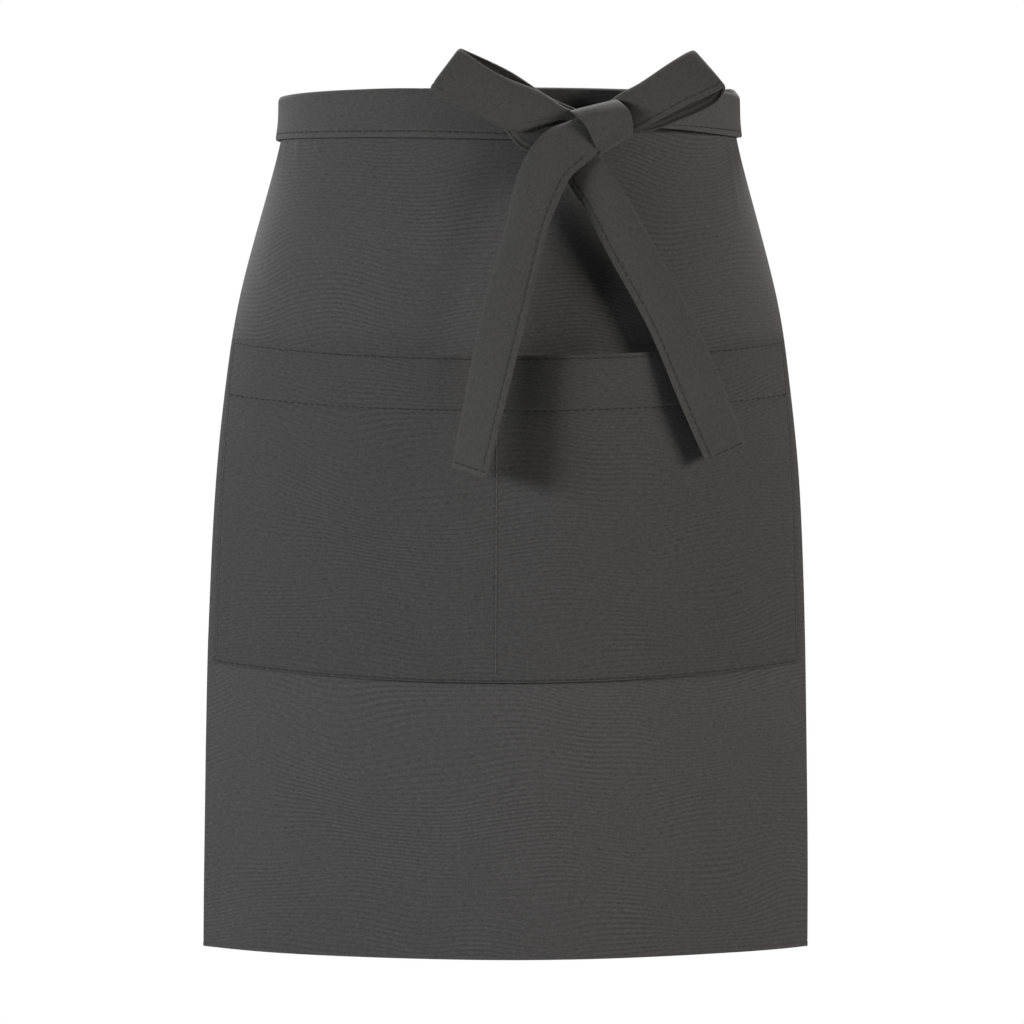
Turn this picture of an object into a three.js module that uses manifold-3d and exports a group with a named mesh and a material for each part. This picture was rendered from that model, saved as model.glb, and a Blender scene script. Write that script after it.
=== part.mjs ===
// Waist apron in its worn shape: a skirt panel with one wide pocket hangs from a folded waistband,
// and two ties run round the back, come forward over the band and are tied in a bow.
// Millimetres, +Z up. The origin is the middle of the waist, near half the height of the band.
// The front faces -Y, and +X is to the right of someone who looks at the front.
import * as THREE from "three";
import { mergeVertices } from "three/addons/utils/BufferGeometryUtils.js";
import Module from "manifold-3d";

const wasm = await Module();
wasm.setup();

// Cloth and seams
const CLOTH = 1.2; // wall of the skirt, the pocket and the band
const TIE_CLOTH = 1.6; // a tie is two layers pressed flat
const GAP = 0.4; // air between neighbouring pieces
const COLUMN = 10; // spacing of the sections across the skirt, the pocket and the band

// Skirt, pocket and band
const SKIRT = { width: 376, top: 7, seam: -17.7, hemHeight: 6, hemTurn: 1 };
const POCKET = { width: 366, hemTurn: 0.6 };
const BAND = { top: 12, width: SKIRT.width };
const STEP = 1; // height over which a turned hem thins down to a single layer

// Lower edge of the band at distances from the middle of the front
const BAND_EDGE = [
  { across: -188, z: -12 },
  { across: -100, z: -14.7 },
  { across: -15, z: -17.6 },
  { across: 90, z: -10.6 },
  { across: 188, z: -10.4 },
];

// Lines across the cloth that dip from the sides to the middle; half is where the dip starts
const HEM_EDGE = { middle: -486.5, side: -483, half: 188 };
const POCKET_MOUTH = { middle: -142.6, side: -130, half: 183 };
const POCKET_STITCH = { middle: -174, side: -162.7, half: 183 };
const POCKET_FOOT = { middle: -328.8, side: -318.5, half: 183 };

// Form that the cloth lies on, as half axes of an ellipse at each height, with its foremost point
const LEVELS = [
  { z: -486.5, halfWidth: 286.8, halfDepth: 290, front: 118 },
  { z: -400, halfWidth: 277, halfDepth: 270, front: 118 },
  { z: -325, halfWidth: 252.9, halfDepth: 225, front: 118 },
  { z: -270, halfWidth: 220.3, halfDepth: 170, front: 117.8 },
  { z: -212.8, halfWidth: 193.5, halfDepth: 130, front: 117 },
  { z: -163, halfWidth: 176.8, halfDepth: 114, front: 115 },
  { z: -130.6, halfWidth: 168.2, halfDepth: 109, front: 112.8 },
  { z: -106.4, halfWidth: 161.2, halfDepth: 106, front: 110.4 },
  { z: -66.3, halfWidth: 148.8, halfDepth: 104, front: 105.6 },
  { z: -36.8, halfWidth: 140.4, halfDepth: 101.5, front: 101.5 },
  { z: -13.8, halfWidth: 134.8, halfDepth: 97.8, front: 97.8 },
  { z: -2, halfWidth: 133, halfDepth: 96.2, front: 96.2 },
  { z: 12, halfWidth: 132.6, halfDepth: 95.8, front: 95.8 },
];

// The skirt hangs a little to one side: where the middle of the form lies at the waist and at the hem
const SWAY = { waist: 1.2, hem: -1.1 };

// Gathers under the band and soft waves at the hem; high and low are the heights where each one ends
const FOLDS = [
  { across: -158, halfWidth: 12, depth: 1.2, high: -18, low: -50 },
  { across: -140, halfWidth: 12, depth: 1.2, high: -18, low: -50 },
  { across: -121, halfWidth: 12, depth: 1.2, high: -18, low: -50 },
  { across: 153, halfWidth: 12, depth: 1.4, high: -18, low: -72 },
  { across: 170, halfWidth: 12, depth: 1.2, high: -18, low: -60 },
  { across: -140, halfWidth: 60, depth: 3, high: -340, low: -620 },
  { across: 20, halfWidth: 80, depth: 3, high: -340, low: -620 },
  { across: 165, halfWidth: 50, depth: 2.5, high: -340, low: -620 },
];

// The pocket's two halves, and how far each stands off the skirt at its mouth
const POCKET_HALVES = [
  { from: -183, peak: -42, to: -6, gape: 7 },
  { from: -6, peak: 36, to: 183, gape: 8 },
];

// Ties round the waist: way is the length from the band's end, lift the distance out from the form
const TIE_RIGHT_ROUTE = [
  { way: 0, middle: 0.3, wide: 23, lift: -0.6 },
  { way: 132, middle: 8.5, wide: 27, lift: -0.6 },
  { way: 215, middle: 8.5, wide: 27, lift: 2.8 },
  { way: 295, middle: 0.5, wide: 25, lift: 2.8 },
  { way: 352, middle: 0, wide: 24.6, lift: 2.8 },
  { way: 437, middle: -1.5, wide: 27.4, lift: 2.8 },
  { way: 492, middle: -2.8, wide: 28, lift: 2.8 },
  { way: 535, middle: -6, wide: 24, lift: 2.8 },
  { way: 578, middle: -11.5, wide: 14, lift: 3.4 },
];
const TIE_LEFT_ROUTE = [
  { way: 0, middle: 0, wide: 23, lift: -0.6 },
  { way: 132, middle: -21.5, wide: 27, lift: -0.6 },
  { way: 215, middle: -21.5, wide: 27, lift: 2.8 },
  { way: 290, middle: 3, wide: 26.4, lift: 2.8 },
  { way: 330, middle: 6.6, wide: 26.6, lift: 2.8 },
  { way: 354, middle: 1.8, wide: 24.6, lift: 2.8 },
  { way: 397, middle: 0.8, wide: 25, lift: 3.6 },
  { way: 437, middle: -2.4, wide: 16.5, lift: 8 },
  { way: 467, middle: -6, wide: 8, lift: 15 },
];
const TIE_STEP = 11; // spacing of the sections along a tie that goes round the waist

// Bow: each row is one section of a ribbon, from its seamed edge to its folded edge
const LOOP_LEFT = [
  { seam: [46, -108, -4], fold: [46, -108, -11], crown: 1 },
  { seam: [33.8, -111, -1.5], fold: [34.3, -111, -7.5], crown: 1 },
  { seam: [18.4, -112.5, 8.3], fold: [19, -112.5, -10.8], crown: 2 },
  { seam: [1.2, -114, 15.2], fold: [3.5, -114, -14.4], crown: 2 },
  { seam: [-10.7, -114.5, 21.3], fold: [-16.2, -114.5, -5], crown: 1 },
  { seam: [-22, -113, 29.3], fold: [-36, -113, 4.8], crown: 0.5 },
  { seam: [-26.8, -109.5, 33], fold: [-43.5, -109.5, 10.5], crown: 0 },
  { seam: [-21, -106.5, 31], fold: [-36, -106.5, 7], crown: 0 },
  { seam: [2, -107, 20], fold: [-9, -107, -4], crown: 0 },
  { seam: [25, -109.5, 5], fold: [11, -109.5, -25.5], crown: 0 },
  { seam: [46, -105, -4], fold: [40, -105, -20], crown: 0 },
];
const LOOP_RIGHT = [
  { seam: [62, -108, -12], fold: [58, -108, 2], crown: 1 },
  { seam: [72, -111, -14.5], fold: [64.5, -111, 7], crown: 2 },
  { seam: [85, -112, -8.5], fold: [76, -112, 13], crown: 2 },
  { seam: [103, -110, 1], fold: [92, -110, 24], crown: 1 },
  { seam: [119, -105.5, 8.5], fold: [103, -105.5, 31], crown: 0.5 },
  { seam: [125, -101.5, 11.5], fold: [107, -101.5, 32.5], crown: 0 },
  { seam: [119.5, -98.5, 2.5], fold: [102, -98.5, 29.5], crown: 0 },
  { seam: [101, -98.5, -6.5], fold: [89, -98.5, 20], crown: 0 },
  { seam: [80, -100, -13.8], fold: [73, -100, 8], crown: 0 },
  { seam: [62, -102, -13], fold: [60, -102, 0], crown: 0 },
];
const TAIL_LEFT = [
  { seam: [46, -114, -3], fold: [57, -114, -16], crown: 0 },
  { seam: [36.5, -117, -8.6], fold: [51.5, -117, -26.5], crown: 1 },
  { seam: [22.5, -118.5, -14.8], fold: [44.5, -119.5, -33.2], crown: 2.5 },
  { seam: [11, -119.5, -29], fold: [36, -122.5, -41], crown: 4 },
  { seam: [4.5, -120.5, -46], fold: [29.5, -126, -54], crown: 3.5 },
  { seam: [-1.3, -122, -72], fold: [22.2, -132, -74], crown: 2 },
  { seam: [-14.3, -128, -119], fold: [10.2, -140, -124], crown: 1 },
  { seam: [-31.5, -132, -206], fold: [-11.8, -148, -212.8], crown: 0 },
];
const TAIL_RIGHT = [
  { seam: [49, -110, -15], fold: [61, -110, -14], crown: 0 },
  { seam: [34.5, -113, -38.5], fold: [53.6, -113, -27.2], crown: 1.5 },
  { seam: [45, -115, -59], fold: [65.3, -113.5, -47.4], crown: 2.5 },
  { seam: [58.4, -116, -85.6], fold: [81.3, -111, -74.8], crown: 2 },
  { seam: [81.4, -114, -127.6], fold: [104.5, -106, -117.5], crown: 1 },
  { seam: [99.5, -112, -170.8], fold: [122.8, -104, -157], crown: 0.5 },
  { seam: [114.1, -107, -202.9], fold: [136.4, -96, -192.5], crown: 0 },
];
const RIBBON_STEPS = 3; // sections between two rows of a ribbon's table
const RIBBON_CELLS = 4; // cells across a ribbon

// Knot: a squarish cushion, with two slanted half axes across its face and one through its depth
const KNOT = {
  centre: new THREE.Vector3(55.5, -108.5, -10.8),
  wide: new THREE.Vector3(14.2, 0, 5.2),
  high: new THREE.Vector3(-7.6, 0, 13.6),
  deep: new THREE.Vector3(0, 13.5, 0),
  squareness: 3.4,
};

const APRON_CLOTH = { color: 0x4b4a4a, roughness: 0.95, metalness: 0 };
const TIE_COLOUR = { color: 0x464543, roughness: 0.92, metalness: 0 };

// Smooth value of a table's column at a place along its key column, whose rows are in rising order
function along(rows, key, column, at) {
  const last = rows.length - 1;
  const place = THREE.MathUtils.clamp(at, rows[0][key], rows[last][key]);
  let i = 0;
  while (i < last - 1 && rows[i + 1][key] < place) i++;
  const slope = (j) => {
    const before = rows[Math.max(j - 1, 0)];
    const after = rows[Math.min(j + 1, last)];
    return (after[column] - before[column]) / (after[key] - before[key]);
  };
  const run = rows[i + 1][key] - rows[i][key];
  const t = (place - rows[i][key]) / run;
  const rise = t * t * (3 - 2 * t);
  const start = t * (1 - t) * (1 - t) * run * slope(i);
  const end = t * t * (t - 1) * run * slope(i + 1);
  return rows[i][column] * (1 - rise) + rows[i + 1][column] * rise + start + end;
}

// Evenly spaced numbers from one end to the other
function spaced(from, to, count) {
  return Array.from({ length: count + 1 }, (_, i) => from + ((to - from) * i) / count);
}

// Height of a line that dips in the middle
function dip(line, across) {
  return line.middle + (line.side - line.middle) * Math.min(1, (across / line.half) ** 2);
}

// The ellipse round the form at a height, kept so that its length is measured once
const rings = new Map();
function ringAt(z) {
  if (!rings.has(z)) {
    const halfWidth = along(LEVELS, "z", "halfWidth", z);
    const halfDepth = along(LEVELS, "z", "halfDepth", z);
    const middle = halfDepth - along(LEVELS, "z", "front", z);
    const side = SWAY.waist + ((SWAY.hem - SWAY.waist) * z) / HEM_EDGE.middle;
    rings.set(z, new THREE.EllipseCurve(side, middle, halfWidth, halfDepth, -Math.PI / 2, 1.5 * Math.PI));
  }
  return rings.get(z);
}

// Length of the way round the waist
const GIRTH = ringAt(0).getLength();

// Point at a share of the way round the form from the middle of the front
function wrapPoint(turn, z, out) {
  const ring = ringAt(z);
  const { x, y } = ring.getPointAt(turn - Math.floor(turn));
  const slope = [(x - ring.aX) / ring.xRadius ** 2, (y - ring.aY) / ring.yRadius ** 2];
  const normal = new THREE.Vector2(...slope).normalize();
  return new THREE.Vector3(x + normal.x * out, y + normal.y * out, z);
}

// How far the folds push the cloth out at a place on the skirt
function drape(across, z) {
  return FOLDS.reduce((sum, { across: middle, halfWidth, depth, high, low }) => {
    const side = (across - middle) / halfWidth;
    const down = (high - z) / (high - low);
    if (Math.abs(side) > 1 || down < 0 || down > 1) return sum;
    return sum + depth * Math.cos((Math.PI / 2) * side) ** 2 * Math.sin(Math.PI * down) ** 2;
  }, 0);
}

// Point on the skirt's cloth, whose threads keep their distance from the middle at every height
function clothPoint(across, z, out) {
  return wrapPoint(across / ringAt(z).getLength(), z, out + drape(across, z));
}

// Geometry with shared vertices
function indexed(positions, faces) {
  const geometry = new THREE.BufferGeometry();
  geometry.setAttribute("position", new THREE.Float32BufferAttribute(positions, 3));
  geometry.setIndex(Array.from(faces));
  return geometry;
}

// Closed wall of cloth: pairs(at) gives the points of its back and front faces at one station,
// from the lower edge to the upper one
function wall(stations, pairs) {
  const sections = stations.map(pairs);
  const positions = sections.flat(2).flatMap((point) => point.toArray());
  const faces = [];
  const quad = (a, b, c, d) => faces.push(a, b, c, a, c, d);
  const perSection = sections[0].length;
  const end = stations.length - 1;
  const top = perSection - 1;
  const back = (i, j) => 2 * (i * perSection + j);
  const front = (i, j) => back(i, j) + 1;
  for (let i = 0; i < end; i++) {
    for (let j = 0; j < top; j++) {
      quad(front(i, j), front(i + 1, j), front(i + 1, j + 1), front(i, j + 1));
      quad(back(i, j), back(i, j + 1), back(i + 1, j + 1), back(i + 1, j));
    }
    quad(back(i, 0), back(i + 1, 0), front(i + 1, 0), front(i, 0));
    quad(front(i, top), front(i + 1, top), back(i + 1, top), back(i, top));
  }
  for (let j = 0; j < top; j++) {
    quad(back(0, j), front(0, j), front(0, j + 1), back(0, j + 1));
    quad(front(end, j), back(end, j), back(end, j + 1), front(end, j + 1));
  }
  return indexed(positions, faces);
}

function columnsOf(width) {
  return spaced(-width / 2, width / 2, Math.round(width / COLUMN));
}

function skirtPanel() {
  const heights = [
    ...spaced(POCKET_FOOT.middle, SKIRT.seam, 11),
    ...spaced(SKIRT.seam, SKIRT.top, 2).slice(1),
  ];
  return wall(columnsOf(SKIRT.width), (across) => {
    const hem = dip(HEM_EDGE, across);
    const hemTop = hem + SKIRT.hemHeight;
    const hemRows = [hem, hemTop].map((z) => ({ z, back: -CLOTH - SKIRT.hemTurn }));
    const body = [...spaced(hemTop + STEP, POCKET_FOOT.middle, 4).slice(0, -1), ...heights];
    const rows = [...hemRows, ...body.map((z) => ({ z, back: -CLOTH }))];
    return rows.map(({ z, back }) => [clothPoint(across, z, back), clothPoint(across, z, 0)]);
  });
}

// How far the pocket stands off the skirt: nothing along its seams, most at its mouth
function pocketGape(across, share) {
  const half = POCKET_HALVES.find(({ from, to }) => across >= from && across <= to);
  const side = across < half.peak ? half.from : half.to;
  const inward = (across - side) / (half.peak - side);
  return half.gape * Math.sin((Math.PI / 2) * inward) ** 2 * share ** 2;
}

function pocketPanel() {
  return wall(columnsOf(POCKET.width), (across) => {
    const foot = dip(POCKET_FOOT, across);
    const stitch = dip(POCKET_STITCH, across);
    const mouth = dip(POCKET_MOUTH, across);
    const hem = CLOTH + POCKET.hemTurn;
    const body = spaced(foot, stitch, 6).map((z) => ({ z, thick: CLOTH }));
    const rows = [...body, ...spaced(stitch + STEP, mouth, 2).map((z) => ({ z, thick: hem }))];
    return rows.map(({ z, thick }) => {
      const back = GAP + pocketGape(across, (z - foot) / (mouth - foot));
      return [clothPoint(across, z, back), clothPoint(across, z, back + thick)];
    });
  });
}

// The band is one strip folded over the top edge of the skirt
function waistband() {
  const slot = CLOTH / 2 + GAP; // half the space inside the fold
  const foldHeight = BAND.top - slot - CLOTH;
  const middle = -CLOTH / 2;
  return wall(columnsOf(BAND.width), (across) => {
    const edge = along(BAND_EDGE, "across", "z", across);
    const point = (z, out) => wrapPoint(across / GIRTH, z, middle + out);
    const outer = spaced(edge, foldHeight, 3).map((z) => [point(z, slot), point(z, slot + CLOTH)]);
    const inner = outer.map((_, j) => {
      const z = foldHeight + ((edge - foldHeight) * j) / (outer.length - 1);
      return [point(z, -slot), point(z, -slot - CLOTH)];
    });
    const fold = [45, 90, 135].map((degrees) => {
      const turn = THREE.MathUtils.degToRad(degrees);
      const at = (radius) => point(foldHeight + radius * Math.sin(turn), radius * Math.cos(turn));
      return [at(slot), at(slot + CLOTH)];
    });
    return [...outer, ...fold, ...inner];
  });
}

// A tie leaves one end of the band, goes round the back and comes forward over the other half;
// side is +1 for the tie that starts on the right and -1 for the one that starts on the left
function waistTie(route, side) {
  const start = BAND.width / 2 + GAP;
  const length = route[route.length - 1].way;
  const ways = spaced(0, length, Math.round(length / TIE_STEP));
  const stations = side > 0 ? ways : ways.reverse();
  return wall(stations, (way) => {
    const turn = (side * (start + way)) / GIRTH;
    const middle = along(route, "way", "middle", way);
    const wide = along(route, "way", "wide", way);
    const lift = along(route, "way", "lift", way);
    return spaced(middle - wide / 2, middle + wide / 2, 3).map((z) => [
      wrapPoint(turn, z, lift - TIE_CLOTH / 2),
      wrapPoint(turn, z, lift + TIE_CLOTH / 2),
    ]);
  });
}

// Ribbon through the sections of a table; crown is how far its middle bulges out
function ribbon(rows) {
  const edge = (column) =>
    new THREE.CatmullRomCurve3(rows.map((row) => new THREE.Vector3(...row[column])));
  const seam = edge("seam");
  const fold = edge("fold");
  const crowns = rows.map(({ crown }, row) => ({ row, crown }));
  const count = (rows.length - 1) * RIBBON_STEPS;
  const middle = (t) => seam.getPoint(t).add(fold.getPoint(t)).multiplyScalar(0.5);
  return wall(spaced(0, 1, count), (t) => {
    const near = 0.5 / count;
    const ahead = middle(Math.min(1, t + near)).sub(middle(Math.max(0, t - near)));
    const from = seam.getPoint(t);
    const across = fold.getPoint(t).sub(from);
    const normal = ahead.cross(across).normalize();
    const crown = along(crowns, "row", "crown", t * (rows.length - 1));
    return spaced(0, 1, RIBBON_CELLS).map((s) => {
      const point = from.clone().addScaledVector(across, s);
      point.addScaledVector(normal, crown * 4 * s * (1 - s));
      const half = normal.clone().multiplyScalar(TIE_CLOTH / 2);
      return [point.clone().sub(half), point.clone().add(half)];
    });
  });
}

// Knot grown on every side by a margin
function knotCushion(margin) {
  const sphere = new THREE.SphereGeometry(1, 20, 12);
  sphere.deleteAttribute("normal");
  sphere.deleteAttribute("uv");
  const geometry = mergeVertices(sphere, 1e-5);
  const points = geometry.getAttribute("position");
  const power = KNOT.squareness;
  const direction = new THREE.Vector3();
  for (let i = 0; i < points.count; i++) {
    direction.fromBufferAttribute(points, i);
    const size = direction.toArray().reduce((sum, c) => sum + Math.abs(c) ** power, 0) ** (1 / power);
    const place = KNOT.centre.clone();
    [KNOT.wide, KNOT.deep, KNOT.high].forEach((axis, c) => {
      const reach = (axis.length() + margin) / axis.length();
      place.addScaledVector(axis, (reach * direction.getComponent(c)) / size);
    });
    points.setXYZ(i, ...place.toArray());
  }
  return geometry;
}

function solidOf(geometry) {
  const vertProperties = geometry.getAttribute("position").array;
  const triVerts = new Uint32Array(geometry.index.array);
  return new wasm.Manifold(new wasm.Mesh({ numProp: 3, vertProperties, triVerts }));
}

// What is left of a ribbon outside the knot that it runs into
function upToKnot(geometry) {
  const rest = solidOf(geometry).subtract(solidOf(knotCushion(GAP))).getMesh();
  return indexed(rest.vertProperties, rest.triVerts);
}

const apron = new THREE.Group();

function addPiece(name, geometry, finish) {
  const mesh = new THREE.Mesh(geometry, new THREE.MeshStandardMaterial(finish));
  mesh.name = name;
  apron.add(mesh);
}

addPiece("skirt_panel", skirtPanel(), APRON_CLOTH);
addPiece("pocket_panel", pocketPanel(), APRON_CLOTH);
addPiece("waistband", waistband(), APRON_CLOTH);
addPiece("tie_left", upToKnot(waistTie(TIE_LEFT_ROUTE, -1)), TIE_COLOUR);
addPiece("tie_right", upToKnot(waistTie(TIE_RIGHT_ROUTE, 1)), TIE_COLOUR);
addPiece("bow_knot", knotCushion(0), TIE_COLOUR);
addPiece("bow_loop_left", upToKnot(ribbon(LOOP_LEFT)), TIE_COLOUR);
addPiece("bow_loop_right", upToKnot(ribbon(LOOP_RIGHT)), TIE_COLOUR);
addPiece("tail_left", upToKnot(ribbon(TAIL_LEFT)), TIE_COLOUR);
addPiece("tail_right", upToKnot(ribbon(TAIL_RIGHT)), TIE_COLOUR);

export default apron;
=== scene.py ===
# Waist apron in its worn shape: charcoal cloth skirt, divided pocket, folded band and a tied bow.
# Tables and lengths are in millimetres, and each mesh is written in metres.
# The front faces -Y, and left and right are those of someone who looks at the front.
import math
from collections import namedtuple

import bpy
import numpy as np
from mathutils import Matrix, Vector, noise


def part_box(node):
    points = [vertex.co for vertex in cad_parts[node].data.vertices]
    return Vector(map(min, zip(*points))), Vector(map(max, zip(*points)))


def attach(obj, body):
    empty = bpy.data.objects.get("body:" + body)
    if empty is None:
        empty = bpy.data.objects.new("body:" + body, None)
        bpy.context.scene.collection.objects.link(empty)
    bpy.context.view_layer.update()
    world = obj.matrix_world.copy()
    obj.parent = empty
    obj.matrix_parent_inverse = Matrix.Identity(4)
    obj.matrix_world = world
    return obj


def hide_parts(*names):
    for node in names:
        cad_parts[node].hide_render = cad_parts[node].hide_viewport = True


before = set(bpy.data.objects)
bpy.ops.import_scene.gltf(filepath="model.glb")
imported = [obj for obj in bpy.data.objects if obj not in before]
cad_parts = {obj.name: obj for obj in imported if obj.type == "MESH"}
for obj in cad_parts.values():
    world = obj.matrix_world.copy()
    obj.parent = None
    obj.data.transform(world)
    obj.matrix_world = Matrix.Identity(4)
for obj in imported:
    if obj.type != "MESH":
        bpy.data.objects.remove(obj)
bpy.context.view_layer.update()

MM = 0.001

# Cloth and seams
CLOTH = 1.2
TIE_CLOTH = 1.6
TIE_WIDTH = 27
GAP = 0.4
STITCH = {"pitch": 4.6, "open": 3, "close": 4.4, "width": 0.85, "proud": 0.2}
EDGE_SEAM = 3.4
END_SEAM = 1.1

# Relief of edges and seams, and how fast each groove fades, as a distance or a share of the piece
EDGE_HEIGHT = {"skirt_hem": 0.15, "skirt_side": 0.06, "pocket_side": 0.16, "pocket_foot": 0.1}
EDGE_GROOVE = {"share": 1.2, "fade": 0.6}
POCKET_HEM = {"proud": 0.5, "start": 1.02, "groove": 0.7, "fade": 0.012, "pucker": 0.25}
TIE_RELIEF = {"shoulder": 0.85, "round": 2.4, "groove": 0.4, "fade": 0.7}
KNOT_RELIEF = {"swell": 1.6, "roll": 0.7, "roll_at": 0.05, "fade": 0.06}

# Soft waves of the cloth: height and size along and across it, and where on the skirt they start and are full
Wave = namedtuple("Wave", "height along across")
SKIRT_WAVE = Wave(0.5, 55, 150)
SKIRT_RIPPLE = Wave(0.25, 22, 60)
TIE_WAVE = Wave(0.3, 38, 30)
BOW_WAVE = Wave(0.35, 26, 22)
SKIRT_SEED = {"wave": 3, "ripple": 8}
BOW_SEED = {"loop_left": 11, "loop_right": 12, "tail_left": 13, "tail_right": 14}
WAVES = {"start": -20, "full": -60}

# Rows and columns of the meshes, with close rows at turned edges, and how a mesh is joined and smoothed
EDGE_ROWS = [0, 0.5, 1.1, 1.8, 2.5, 3, 3.4, 3.8, 4.6]
EDGE_ZONE = 6
SKIRT_GRID = (151, 140)
POCKET_GRID = (161, 40)
POCKET_PANEL_SPAN = (0.05, 0.96)
POCKET_STITCH_ROWS = [0.975, 0.985, 0.993, 1, 1.03, 1.08]
POCKET_HEM_SPAN = (1.2, 2)
POCKET_HEM_ROWS = 9
BAND_COLUMNS = 161
BAND_SIDE_ROWS = 9
BAND_TOP_SPAN = (0.48, 0.52)
BAND_TOP_ROWS = 7
TIE_COLUMNS = 7
TIE_STEP = 3.5
BOW_STEP = 2.2
KNOT_GRID = (61, 15)
MERGE_DISTANCE = 0.01
SMOOTH_ANGLE = 50

# Skirt, pocket and band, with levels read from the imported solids
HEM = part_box("skirt_panel")[0][2] / MM
BAND_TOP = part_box("waistband")[1][2] / MM
SKIRT_WIDTH = 376
SKIRT_TOP = 7
POCKET_WIDTH = 366
POCKET_MIDDLE = -6
POCKET_FOOT_ROW = 0.008
POCKET_MOUTH_ROW = 1.93
BAND_WIDTH = 28

# The band's fold, as shares of its strip: where each flat side ends, and the turn between them
BAND_SIDE = 0.47
BAND_TURN = 0.06

# Form that the cloth lies on, as half axes of an ellipse at each height, with its foremost point
Level = namedtuple("Level", "z half_width half_depth front")
LEVELS = [
    Level(-486.5, 286.8, 290, 118),
    Level(-400, 277, 270, 118),
    Level(-325, 252.9, 225, 118),
    Level(-270, 220.3, 170, 117.8),
    Level(-212.8, 193.5, 130, 117),
    Level(-163, 176.8, 114, 115),
    Level(-130.6, 168.2, 109, 112.8),
    Level(-106.4, 161.2, 106, 110.4),
    Level(-66.3, 148.8, 104, 105.6),
    Level(-36.8, 140.4, 101.5, 101.5),
    Level(-13.8, 134.8, 97.8, 97.8),
    Level(-2, 133, 96.2, 96.2),
    Level(12, 132.6, 95.8, 95.8),
]

# The skirt hangs a little to one side: where the middle of the form lies at the waist and at the hem
SWAY = {"waist": 1.2, "hem": -1.1}

# Lower edge of the band at distances from the middle of the front
BandEdge = namedtuple("BandEdge", "across z")
BAND_EDGE = [
    BandEdge(-188, -12),
    BandEdge(-100, -14.7),
    BandEdge(-15, -17.6),
    BandEdge(90, -10.6),
    BandEdge(188, -10.4),
]

# Lines across the cloth that dip from the sides to the middle
Dip = namedtuple("Dip", "middle side half")
HEM_EDGE = Dip(HEM, HEM + 3.5, 188)
POCKET_MOUTH = Dip(-142.6, -130, 183)
POCKET_STITCH = Dip(-174, -162.7, 183)
POCKET_FOOT = Dip(-328.8, -318.5, 183)

# Gathers under the band and soft waves at the hem, between the heights high and low
Fold = namedtuple("Fold", "across half_width depth high low")
FOLDS = [
    Fold(-158, 4, 0.8, -2, -32),
    Fold(-140, 3, 0.8, -2, -34),
    Fold(-121, 3, 0.7, -2, -32),
    Fold(153, 5, 1.2, -6, -68),
    Fold(165, 4, 0.8, -6, -46),
    Fold(-140, 60, 3, -340, -620),
    Fold(20, 80, 3, -340, -620),
    Fold(165, 50, 2.5, -340, -620),
]

# The pocket's two halves, and how far each stands off the skirt at its mouth
Half = namedtuple("Half", "start peak end gape")
POCKET_HALVES = [Half(-183, -42, POCKET_MIDDLE, 7), Half(POCKET_MIDDLE, 36, 183, 8)]

# Ties round the waist: way is the length from the band's end, lift the distance out from the form
Route = namedtuple("Route", "way middle wide lift")
TIE_RIGHT_ROUTE = [
    Route(0, 0.3, 23, -0.6),
    Route(132, 8.5, 27, -0.6),
    Route(215, 8.5, 27, 2.8),
    Route(295, 0.5, 25, 2.8),
    Route(352, 0, 24.6, 2.8),
    Route(437, -1.5, 27.4, 2.8),
    Route(492, -2.8, 28, 2.8),
    Route(535, -6, 24, 2.8),
    Route(578, -11.5, 14, 3.4),
]
TIE_LEFT_ROUTE = [
    Route(0, 0, 23, -0.6),
    Route(132, -21.5, 27, -0.6),
    Route(215, -21.5, 27, 2.8),
    Route(290, 3, 26.4, 2.8),
    Route(330, 6.6, 26.6, 2.8),
    Route(354, 1.8, 24.6, 2.8),
    Route(397, 0.8, 25, 3.6),
    Route(437, -2.4, 16.5, 8),
    Route(467, -6, 8, 15),
]

# Bow: each row is one section of a ribbon, from edge to edge, with how far its middle stands out
Section = namedtuple("Section", "edge far_edge crown")
LOOP_LEFT = [
    Section((46, -108, -4), (46, -108, -11), 1),
    Section((33.8, -111, -1.5), (34.3, -111, -7.5), 1),
    Section((18.4, -112.5, 8.3), (19, -112.5, -10.8), 2),
    Section((1.2, -114, 15.2), (3.5, -114, -14.4), 2),
    Section((-10.7, -114.5, 21.3), (-16.2, -114.5, -5), 1),
    Section((-22, -113, 29.3), (-36, -113, 4.8), 0.5),
    Section((-26.8, -109.5, 33), (-43.5, -109.5, 10.5), 0),
    Section((-21, -106.5, 31), (-36, -106.5, 7), 0),
    Section((2, -107, 20), (-9, -107, -4), 0),
    Section((25, -109.5, 5), (11, -109.5, -25.5), 0),
    Section((46, -105, -4), (40, -105, -20), 0),
]
LOOP_RIGHT = [
    Section((62, -108, -12), (58, -108, 2), 1),
    Section((72, -111, -14.5), (64.5, -111, 7), 2),
    Section((85, -112, -8.5), (76, -112, 13), 2),
    Section((103, -110, 1), (92, -110, 24), 1),
    Section((119, -105.5, 8.5), (103, -105.5, 31), 0.5),
    Section((125, -101.5, 11.5), (107, -101.5, 32.5), 0),
    Section((119.5, -98.5, 2.5), (102, -98.5, 29.5), 0),
    Section((101, -98.5, -6.5), (89, -98.5, 20), 0),
    Section((80, -100, -13.8), (73, -100, 8), 0),
    Section((62, -102, -13), (60, -102, 0), 0),
]
TAIL_LEFT = [
    Section((46, -114, -3), (57, -114, -16), 0),
    Section((36.5, -117, -8.6), (51.5, -117, -26.5), 1),
    Section((22.5, -118.5, -14.8), (44.5, -119.5, -33.2), 2.5),
    Section((11, -119.5, -29), (36, -122.5, -41), 4),
    Section((4.5, -120.5, -46), (29.5, -126, -54), 3.5),
    Section((-1.3, -122, -72), (22.2, -132, -74), 2),
    Section((-14.3, -128, -119), (10.2, -140, -124), 1),
    Section((-31.5, -132, -206), (-11.8, -148, -212.8), 0),
]
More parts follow.
